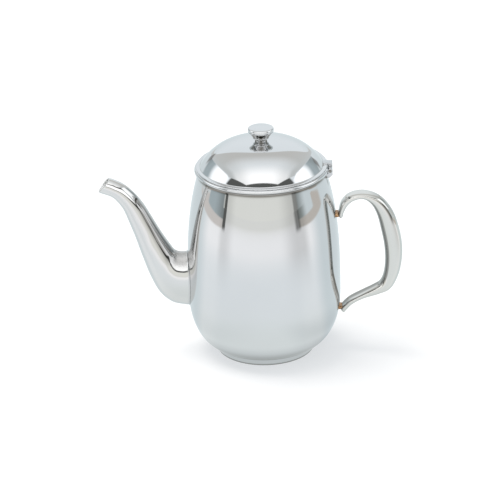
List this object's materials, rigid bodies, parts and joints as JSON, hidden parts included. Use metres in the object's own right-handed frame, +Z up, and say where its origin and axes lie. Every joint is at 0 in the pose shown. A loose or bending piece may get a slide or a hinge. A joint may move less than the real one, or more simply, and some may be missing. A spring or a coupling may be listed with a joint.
{
  "type": "coffee pot",
  "caption": "Gooseneck coffee pot of polished steel with a bulged barrel, foot ring, loop handle and domed hinged lid with a flared knob.",
  "frame": {"origin": "on the barrel's axis, on the plane that the foot ring rests on", "axes": "+Z up, spout to -X, handle to +X, hinge pin along Y"},
  "size_m": [0.2177, 0.1108, 0.1713],
  "materials": {
    "polished_steel": "mirror-polished stainless steel",
    "weld_steel": "ground weld",
    "hinge_steel": "tumbled steel",
    "braze": "bare brazing metal with heat tint"
  },
  "bodies": {
    "pot": {"barrel_shell": "polished_steel", "foot_ring": "polished_steel", "spout_left_half": "polished_steel", "spout_right_half": "polished_steel", "spout_root_weld": "weld_steel", "handle_left_half": "polished_steel", "handle_right_half": "polished_steel", "handle_upper_braze": "braze", "handle_lower_braze": "braze", "hinge_bracket": "hinge_steel", "hinge_pin": "hinge_steel"},
    "lid": {"lid_dome": "polished_steel", "lid_locating_ring": "polished_steel", "lid_hinge_leaf": "hinge_steel", "lid_knob": "polished_steel", "knob_screw": "hinge_steel", "knob_washer": "hinge_steel"}
  },
  "joints": [
    {"name": "lid_hinge", "type": "hinge", "parent": "pot", "child": "lid", "pos_m": [0.0487, 0, 0.139], "axis": [0, 1, 0], "range_deg": [0, 100]}
  ]
}
